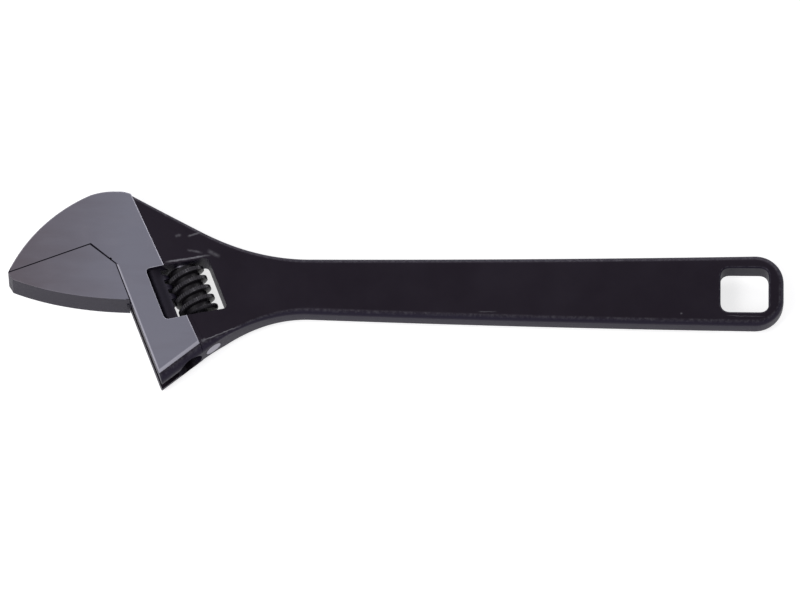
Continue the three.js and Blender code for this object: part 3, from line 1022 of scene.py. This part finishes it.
        # how wide the chamfer is along each run of the outline, as a share of its depth
        plain, outer, jaw, front = 1.0, 2.2, 0.7, 4.0
        runs = [
            (line(tail, self.neck_belly, 4), plain),
            (line(self.neck_belly, back), outer),
            (bend(back, (45.4, 37.68), brow, 8), outer),
            (line(brow, flat_end, 3), outer),
            (bend(flat_end, (36.6, 37.66), shoulder, 12), outer),
            (crest[:-1], outer),
            (crest[-1:], jaw),
            (line(peak, LAYOUT.throat), plain),
            (line(LAYOUT.throat, tail, 4), front),
        ]
        outline = [point for points, _ in runs for point in points]
        shares = np.array([share for points, share in runs for _ in points])
        return Solid.plate(outline, eased_levels(), shares)

    def tail_rounding(self) -> Solid:
        """The slab whose rounded side gives the tail its round lower edges."""
        tail = in_wrench(0, -self.tail_tip)
        angle = math.atan2(self.neck_belly[1] - tail[1], self.neck_belly[0] - tail[0])
        inward = Vector((-math.sin(angle), math.cos(angle), 0))
        along = Vector((math.cos(angle), math.sin(angle), 0))
        placed = Matrix((
            (inward.x, 0, along.x, tail[0]),
            (inward.y, 0, along.y, tail[1]),
            (0, 1, 0, 0),
            (0, 0, 0, 1),
        ))
        reach, half, r = 150.0, HEAD_HALF, self.tail_radius
        section = [(reach, -half - 1), (reach, half + 1), (r, half + 1), (r, half)]
        section += arc((r, half - r), r, 90, 180, 10)[1:]
        section += arc((r, -half + r), r, 180, 270, 10)
        section += [(r, -half - 1)]
        return Solid.plate(section, [(-reach, 0), (reach, 0)], placed=placed)

    def blank(self) -> Solid:
        """The forging before anything is cut into it."""
        return self.head().join(self.tail_rounding(), Join.KEEP).join(self.neck_and_handle(), Join.ADD)

    def cut_openings(self, body: Solid) -> None:
        """Cuts the window, the rack's channel and slot, both holes and the relief at the throat."""
        half_slot, channel = self.web_half, self.rack_axis
        tools = [
            self.window.cutter(HEAD_HALF, 8, 2, SLIDE),
            Solid.bar(self.channel_radius, DEEP, self.channel_top, channel, 72, SLIDE),
            Solid.block((-5, DEEP, -half_slot), (channel, 0, half_slot), SLIDE),
            Solid.bar(self.pin_hole, DEEP, self.pin_hole_top, LAYOUT.worm_axis, 48, SLIDE),
            self.hang_hole.cutter(self.handle_half, 10, 6),
            Solid.upright_bar(in_wrench(*self.relief), self.relief_radius),
        ]
        for tool in tools:
            body.join(tool, Join.CUT)

    def build(self) -> bpy.types.Object:
        """Builds the forging and dresses it."""
        body = self.blank()
        self.cut_openings(body)
        to_slide = SLIDE.inverted()

        def finish_of(middle: Vector, normal: Vector) -> int:
            """Ground steel on the head's flats, brighter steel on their outer edges as partly worn steel
            and partly a painted highlight, black elsewhere.
            """
            if is_flat(middle, normal):
                return 1
            here = to_slide @ middle
            # everywhere but on the jaw's face and the throat
            outer = not (here.x < 0.5 and -1 < here.y < 13)
            in_tail = here.y < -30 and here.x < 30
            first_facet = in_tail and abs(normal.z) > 0.99 and abs(middle.z) > HEAD_HALF - 0.1
            return 2 if first_facet or (outer and is_rim(middle, normal)) else 0

        mark_faces(body, finish_of)
        piece = Piece("forged_body", "wrench_body", "body", "black_forging")
        black = BlackForging(scuffs_and_glints=self.scuffs_and_glints)
        # brighter steel on the chamfers round the flats: partly worn, polished steel and partly a painted
        # highlight
        edge = GroundSteel("ground_rim_and_highlight", near=(0.47, 0.465, 0.53), far=(0.36, 0.33, 0.37), roughness=0.55)
        return piece.finish(body, LAYOUT.wrench_to_row(), [black.make(), GroundSteel().make(), edge.make()])


# ---- the sliding jaw ------------------------------------------------------------------------------------


@dataclass
class SlidingJaw:
    """Movable jaw with its web and its round rack, one forging that runs in the head's channel."""

    face: float = 11.26
    reach: float = 41.2
    throat_run: float = 6.64
    throat_gap: float = 0.42
    root: float = 15.9
    rack_axis: float = 13.4
    rod_radius: float = 5.25
    rod_top: float = 12.0
    rod_bottom: float = -31.0
    rod_chamfer: float = 1.2
    web_half: float = 2.3
    tooth_root: float = 15.4
    tooth_tip: float = 18.5
    tip_width: float = 1.14
    flank_slope: float = 0.2273
    pitch: float = 4.2
    first_tooth: float = 9.8
    tooth_count: int = 8
    lean: float = 0.0995

    def plate(self) -> Solid:
        """The jaw itself, ground flat on both sides with eased edges."""
        gap = self.throat_gap
        heel = (-0.3, -self.root)
        outline = [(-0.3, -0.075), (-self.throat_run - gap, self.face - 0.02)]
        outline += line((-self.throat_run - gap - 2, self.face - 0.01), (-self.reach, self.face), 3)
        outline += [(-self.reach, self.face)]
        outline += bend((-self.reach + 0.6, self.face - 3.2), (-25, -6), heel, 40) + [heel]
        shares = np.full(len(outline), 1.2)
        shares[:5] = 0.8
        return Solid.plate(outline, eased_levels(), shares)

    def tooth(self) -> Solid:
        """One long rack tooth with leaning flanks and eased tips."""
        foot, tip = self.tooth_root - 1, self.tooth_tip
        half_tip = self.tip_width / 2
        half_foot = half_tip + self.flank_slope * (tip - foot)
        upper = [(tip, half_tip - 0.12), (tip - 0.15, half_tip + 0.03), (foot, half_foot)]
        outline = [(x, -y) for x, y in reversed(upper)] + upper
        reach = 1.5 * self.rod_radius
        return Solid.plate(outline, [(-reach, 0), (reach, 0)], placed=Matrix.Rotation(-self.lean, 4, "X"))

    def teeth(self, finish: bpy.types.Material) -> Solid:
        """All the rack's teeth: one tooth set out along the rod at the worm's pitch."""
        grower = Grower("rack_teeth")
        count = grower.size("Tooth Count", self.tooth_count, "NodeSocketInt")
        pitch = grower.size("Pitch", self.pitch)
        first = grower.size("First Tooth", self.first_tooth)
        start = grower.node("ShaderNodeCombineXYZ", {"Y": first}).outputs[0]
        offset = grower.node("ShaderNodeCombineXYZ", {"Y": grower.sum("MULTIPLY", pitch, -1.0)}).outputs[0]
        places = grower.node("GeometryNodeMeshLine", {
            "Count": count,
            "Start Location": start,
            "Offset": offset,
        })
        placed = grower.node("GeometryNodeInstanceOnPoints", {
            "Points": places.outputs[0],
            "Instance": grower.start.outputs[0],
        })
        return grower.run(placed.outputs[0], finish, self.tooth())

    def rod(self, finish: bpy.types.Material) -> Solid:
        """The round rod with its back cut down to the teeth."""
        radius, low, high, end = self.rod_radius, self.rod_bottom, self.rod_top, self.rod_chamfer
        profile = [
            (0, low), (radius - end, low), (radius, low + end),
            (radius, high - end), (radius - end, high), (0, high),
        ]
        rod = Solid.turned(profile, self.rack_axis, 72)
        whole = Solid.turned(profile, self.rack_axis, 72)
        back = Solid.block((self.tooth_root, low - 1, -10), (self.tooth_root + 10, high + 1, 10))
        rod.join(back, Join.CUT)
        teeth = self.teeth(finish).join(whole, Join.KEEP)
        return rod.join(teeth, Join.ADD)

    def build(self) -> bpy.types.Object:
        """Builds the jaw and dresses it."""
        black = BlackForging("black_rack", dark=(0.009, 0.0085, 0.0125), rubbed_and_highlight=(0.08, 0.08, 0.10)).make()
        jaw = self.plate()
        half = self.web_half
        web = Solid.block((-1.3, -self.root, -half), (self.rack_axis - 1, -1.2, half))
        jaw.join(web, Join.ADD).join(self.rod(black), Join.ADD)

        def finish_of(middle: Vector, normal: Vector) -> int:
            """Ground steel on the jaw's flats and lower rims, black elsewhere."""
            lower_rim = is_rim(middle, normal) and middle.y < self.face - 1 and middle.x < -2
            return 1 if is_flat(middle, normal) or lower_rim else 0

        mark_faces(jaw, finish_of)
        piece = Piece("sliding_jaw", "sliding_jaw", "movable_jaw", "ground_steel")
        steel = GroundSteel("ground_steel_jaw").make()
        return piece.finish(jaw, LAYOUT.slide_to_row(), [black, steel])


# ---- worm, axle and spring ------------------------------------------------------------------------------


@dataclass
class KnurledWorm:
    """The worm that the thumb turns: a right-handed thread with a finely knurled crest."""

    pitch: float = 4.2
    crest_radius: float = 7.8
    core_radius: float = 5.6
    crest_width: float = 1.5
    flank_slope: float = 0.2273
    low: float = -29.2
    high: float = -9.4
    crest_at: float = -17.5
    bore: float = 3.3
    pocket_radius: float = 4.6
    pocket_depth: float = 8.0
    end_chamfer: float = 1.0
    knurls: int = 44
    knurl_depth: float = 0.24
    rows: int = 190
    columns: int = 264

    def blank(self) -> Solid:
        """The worm before its thread: a closed sleeve whose outer wall has many small faces."""
        mouth, eased = self.high - self.pocket_depth, 0.3
        profile = [(self.crest_radius, y) for y in np.linspace(self.low, self.high, self.rows)]
        profile += [
            (self.pocket_radius + eased, self.high), (self.pocket_radius, self.high - eased),
            (self.pocket_radius, mouth), (self.bore, mouth),
            (self.bore, self.low + eased), (self.bore + eased, self.low),
        ]
        angles = np.arange(self.columns) / self.columns * 2 * math.pi
        rings = []
        for radius, y in profile:
            x, z = -radius * np.cos(angles), radius * np.sin(angles)
            rings.append(np.column_stack([x, np.full(self.columns, y), z]))
        faces = []
        for row in range(len(profile)):
            a, b = row * self.columns, (row + 1) % len(profile) * self.columns
            for i in range(self.columns):
                j = (i + 1) % self.columns
                faces.append((a + i, a + j, b + j, b + i))
        return Solid.of(np.concatenate(rings), faces)

    def threaded(self, grower: Grower, crest: Socket, turns: Socket, y: Socket) -> Socket:
        """Radius of the thread alone.

        Args:
            grower: the tree to add to.
            crest: radius of the thread's crest.
            turns: place round the axis, in turns.
            y: place along the axis.

        Returns:
            The radius, between core and crest.
        """
        pitch = grower.size("Pitch", self.pitch)
        core = grower.size("Core Radius", self.core_radius)
        crest_width = grower.size("Crest Width", self.crest_width)
        slope = grower.size("Flank Slope", self.flank_slope)
        crest_at = grower.size("Crest Place", self.crest_at)
        wound = grower.sum("DIVIDE", grower.sum("SUBTRACT", y, crest_at), pitch)
        phase = grower.sum("SUBTRACT", wound, turns)
        whole = grower.sum("FRACT", grower.sum("ADD", phase, 0.5))
        off = grower.sum("ABSOLUTE", grower.sum("SUBTRACT", whole, 0.5))
        half_crest = grower.sum("DIVIDE", crest_width, 2.0)
        beyond = grower.sum("SUBTRACT", grower.sum("MULTIPLY", off, pitch), half_crest)
        drop = grower.sum("DIVIDE", grower.sum("MAXIMUM", beyond, 0.0), slope)
        return grower.sum("MAXIMUM", grower.sum("SUBTRACT", crest, drop), core)

    def knurled(self, grower: Grower, crest: Socket, turns: Socket) -> Socket:
        """Radius of the knurled crest round the worm."""
        count = grower.size("Knurl Count", float(self.knurls))
        depth = grower.size("Knurl Depth", self.knurl_depth)
        wave = grower.sum("PINGPONG", grower.sum("MULTIPLY", turns, count), 0.5)
        cut = grower.sum("MULTIPLY", grower.sum("MULTIPLY", wave, 2.0), depth)
        return grower.sum("SUBTRACT", crest, cut)

    def chamfered(self, grower: Grower, crest: Socket, y: Socket) -> Socket:
        """Largest radius that the chamfers at both ends allow."""
        chamfer = grower.size("End Chamfer", self.end_chamfer)
        above, below = grower.sum("SUBTRACT", y, self.low), grower.sum("SUBTRACT", self.high, y)
        from_end = grower.sum("MINIMUM", above, below)
        return grower.sum("ADD", grower.sum("SUBTRACT", crest, chamfer), from_end)

    def build(self) -> bpy.types.Object:
        """Cuts thread and knurling into the blank with a node tree and dresses the worm."""
        finish = BlackKnurl().make()
        grower = Grower("worm_thread")
        crest = grower.size("Crest Radius", self.crest_radius)
        place = grower.node("GeometryNodeInputPosition").outputs[0]
        x, y, z = grower.node("ShaderNodeSeparateXYZ", {0: place}).outputs
        squares = grower.sum("ADD", grower.sum("MULTIPLY", x, x), grower.sum("MULTIPLY", z, z))
        radius = grower.sum("SQRT", squares)
        angle = grower.sum("ARCTAN2", z, grower.sum("MULTIPLY", x, -1.0))
        turns = grower.sum("DIVIDE", angle, 2 * math.pi)
        thread, knurl = self.threaded(grower, crest, turns, y), self.knurled(grower, crest, turns)
        height = grower.sum("MINIMUM", thread, knurl)
        wanted = grower.sum("MINIMUM", height, self.chamfered(grower, crest, y))
        wall = {0: radius, 1: self.crest_radius - 0.1}
        outer = grower.node("FunctionNodeCompare", wall, data_type="FLOAT").outputs[0]
        factor = grower.sum("DIVIDE", wanted, radius)
        moved = grower.node("ShaderNodeCombineXYZ", {
            "X": grower.sum("MULTIPLY", x, factor),
            "Y": y,
            "Z": grower.sum("MULTIPLY", z, factor),
        })
        store = grower.node("GeometryNodeStoreNamedAttribute", {
            "Geometry": grower.start.outputs[0],
            "Name": "crest",
            "Selection": outer,
            "Value": grower.sum("DIVIDE", wanted, crest),
        }, data_type="FLOAT", domain="POINT")
        shaped = grower.node("GeometryNodeSetPosition", {
            "Geometry": store.outputs[0],
            "Selection": outer,
            "Position": moved.outputs[0],
        })
        worm = grower.run(shaped.outputs[0], finish, self.blank())
        placed = LAYOUT.slide_to_row() @ Matrix.Translation((LAYOUT.worm_axis, 0, 0))
        return Piece("knurled_worm", "worm", "knurl", "black_knurl").finish(worm, placed, [finish], 40)


@dataclass
class AxleScrew:
    """The plain screw that the worm turns on, its end dressed flush with the tail."""

    radius: float = 3.22
    top: float = -0.9
    beyond: float = -50.0
    eased: float = 0.4

    def build(self) -> bpy.types.Object:
        """Builds the screw and dresses it."""
        eased = self.eased
        profile = [
            (0, self.beyond), (self.radius, self.beyond), (self.radius, self.top - eased),
            (self.radius - eased, self.top), (0, self.top),
        ]
        # its lower end follows the rounded tail
        forging = ForgedBody().blank()
        forging.shape.data.transform(SLIDE.inverted())
        screw = Solid.turned(profile, LAYOUT.worm_axis, 56).join(forging, Join.KEEP)
        finish = TurnedSteel("bare_steel", (0.30, 0.29, 0.34), 0.46, 1.6).make()
        piece = Piece("axle_screw", "wrench_body", "knurl_pin", "bare_steel")
        return piece.finish(screw, LAYOUT.slide_to_row(), [finish])


@dataclass
class WormSpring:
    """The compression spring that takes up the worm's play, hidden in its pocket."""

    radius: float = 3.95
    wire: float = 0.35
    turns: float = 5.0
    length: float = 7.5
    top: float = -9.3

    def build(self) -> bpy.types.Object:
        """Winds the wire with a node tree and dresses it."""
        finish = TurnedSteel("spring_steel", (0.55, 0.55, 0.58), 0.3, 1.2).make()
        grower = Grower("spring_wire")
        radius = grower.size("Coil Radius", self.radius)
        wire = grower.size("Wire Radius", self.wire)
        turns = grower.size("Turns", self.turns)
        length = grower.size("Length", self.length)
        coil = grower.node("GeometryNodeCurveSpiral", {
            "Resolution": 36,
            "Rotations": turns,
            "Start Radius": radius,
            "End Radius": radius,
            "Height": length,
        })
        ring = grower.node("GeometryNodeCurvePrimitiveCircle", {"Resolution": 12, "Radius": wire})
        tube = grower.node("GeometryNodeCurveToMesh", {
            "Curve": coil.outputs[0],
            "Profile Curve": ring.outputs[0],
            "Fill Caps": True,
        })
        seed = Solid.of(np.array([[0, 0, 0], [1, 0, 0], [0, 1, 0]]), [(0, 1, 2)])
        spring = grower.run(tube.outputs[0], finish, seed)
        # the coil grows along its own z, which becomes -y of the slide
        turn = Matrix.Rotation(math.radians(90), 4, "X")
        upright = Matrix.Translation((LAYOUT.worm_axis, self.top, 0)) @ turn
        piece = Piece("worm_spring", "wrench_body", "knurl_spring", "spring_steel")
        return piece.finish(spring, LAYOUT.slide_to_row() @ upright, [finish], 40)


# ---- studio ---------------------------------------------------------------------------------------------


@dataclass(frozen=True)
class Softbox:
    """A rectangular lamp that points at the middle of the wrench."""

    name: str
    place: Place
    width: float
    depth: float
    watts: float


@dataclass
class Studio:
    """Plain pale floor, soft lamps, an even surround and the camera."""

    elevation: float = 70.0
    roll: float = 0.58
    focal: float = 600.0
    sensor: float = 36.0
    view_width: float = 0.3146
    target: Point = (154.13, -4.05)
    surround: Colour = (0.36, 0.355, 0.375)
    lamps: tuple[Softbox, ...] = (
        Softbox("key_lamp", (-0.5, -0.35, 0.9), 0.5, 0.5, 5.0),
        Softbox("rim_lamp", (0.35, 0.9, 0.5), 0.8, 0.3, 4.0),
    )

    def floor(self) -> None:
        """A wide pale floor, a hair below the wrench."""
        half, low = 6.0, -0.0002
        corners = [(-half, -half, low), (half, -half, low), (half, half, low), (-half, half, low)]
        mesh = bpy.data.meshes.new("floor")
        mesh.from_pydata(corners, [], [(0, 1, 2, 3)])
        floor = bpy.data.objects.new("floor", mesh)
        bpy.context.scene.collection.objects.link(floor)
        recipe = Recipe("pale_floor")
        speck = recipe.noise(recipe.mapped(), 0.02, 2)
        mesh.materials.append(recipe.surface(
            Base_Color=recipe.mix(recipe.span(speck, 0.3, 0.7), (0.60, 0.60, 0.60), (0.62, 0.62, 0.62)),
            Roughness=0.9,
            Specular_IOR_Level=0.1,
            Emission_Color=(1.0, 1.0, 1.0, 1.0),
            Emission_Strength=0.72,
        ))

    def light(self) -> None:
        """The surround and the lamps."""
        world = bpy.data.worlds.new("surround")
        world.use_nodes = True
        world.node_tree.nodes["Background"].inputs["Color"].default_value = (*self.surround, 1)
        bpy.context.scene.world = world
        for lamp in self.lamps:
            data = bpy.data.lights.new(lamp.name, "AREA")
            data.shape = "RECTANGLE"
            data.size, data.size_y = lamp.width, lamp.depth
            data.energy = lamp.watts
            made = bpy.data.objects.new(lamp.name, data)
            made.location = lamp.place
            made.rotation_euler = (-Vector(lamp.place)).to_track_quat("-Z", "Y").to_euler()
            bpy.context.scene.collection.objects.link(made)

    def camera(self) -> None:
        """The camera, from above and slightly in front."""
        data = bpy.data.cameras.new("camera")
        data.lens, data.sensor_width = self.focal, self.sensor
        data.clip_start, data.clip_end = 0.05, 30
        distance = self.view_width * self.focal / self.sensor
        up = math.radians(self.elevation)
        turn = Matrix.Rotation(math.radians(self.roll), 4, "Z")
        direction = turn @ Vector((0, -math.cos(up), math.sin(up)))
        made = bpy.data.objects.new("camera", data)
        made.location = LAYOUT.wrench_to_row() @ Vector((*self.target, 0)) + direction * distance
        made.rotation_euler = (-direction).to_track_quat("-Z", "Y").to_euler()
        bpy.context.scene.collection.objects.link(made)
        bpy.context.scene.camera = made

    def build(self) -> None:
        """Sets up the whole studio."""
        bpy.context.scene.view_settings.view_transform = "Standard"
        self.floor()
        self.light()
        self.camera()


def main() -> None:
    """Builds the studio and every piece in order."""
    logging.basicConfig(level=logging.INFO, format="%(message)s")
    Studio().build()
    for assembly in (ForgedBody(), SlidingJaw(), KnurledWorm(), AxleScrew(), WormSpring()):
        assembly.build()


if __name__ == "__main__":
    main()
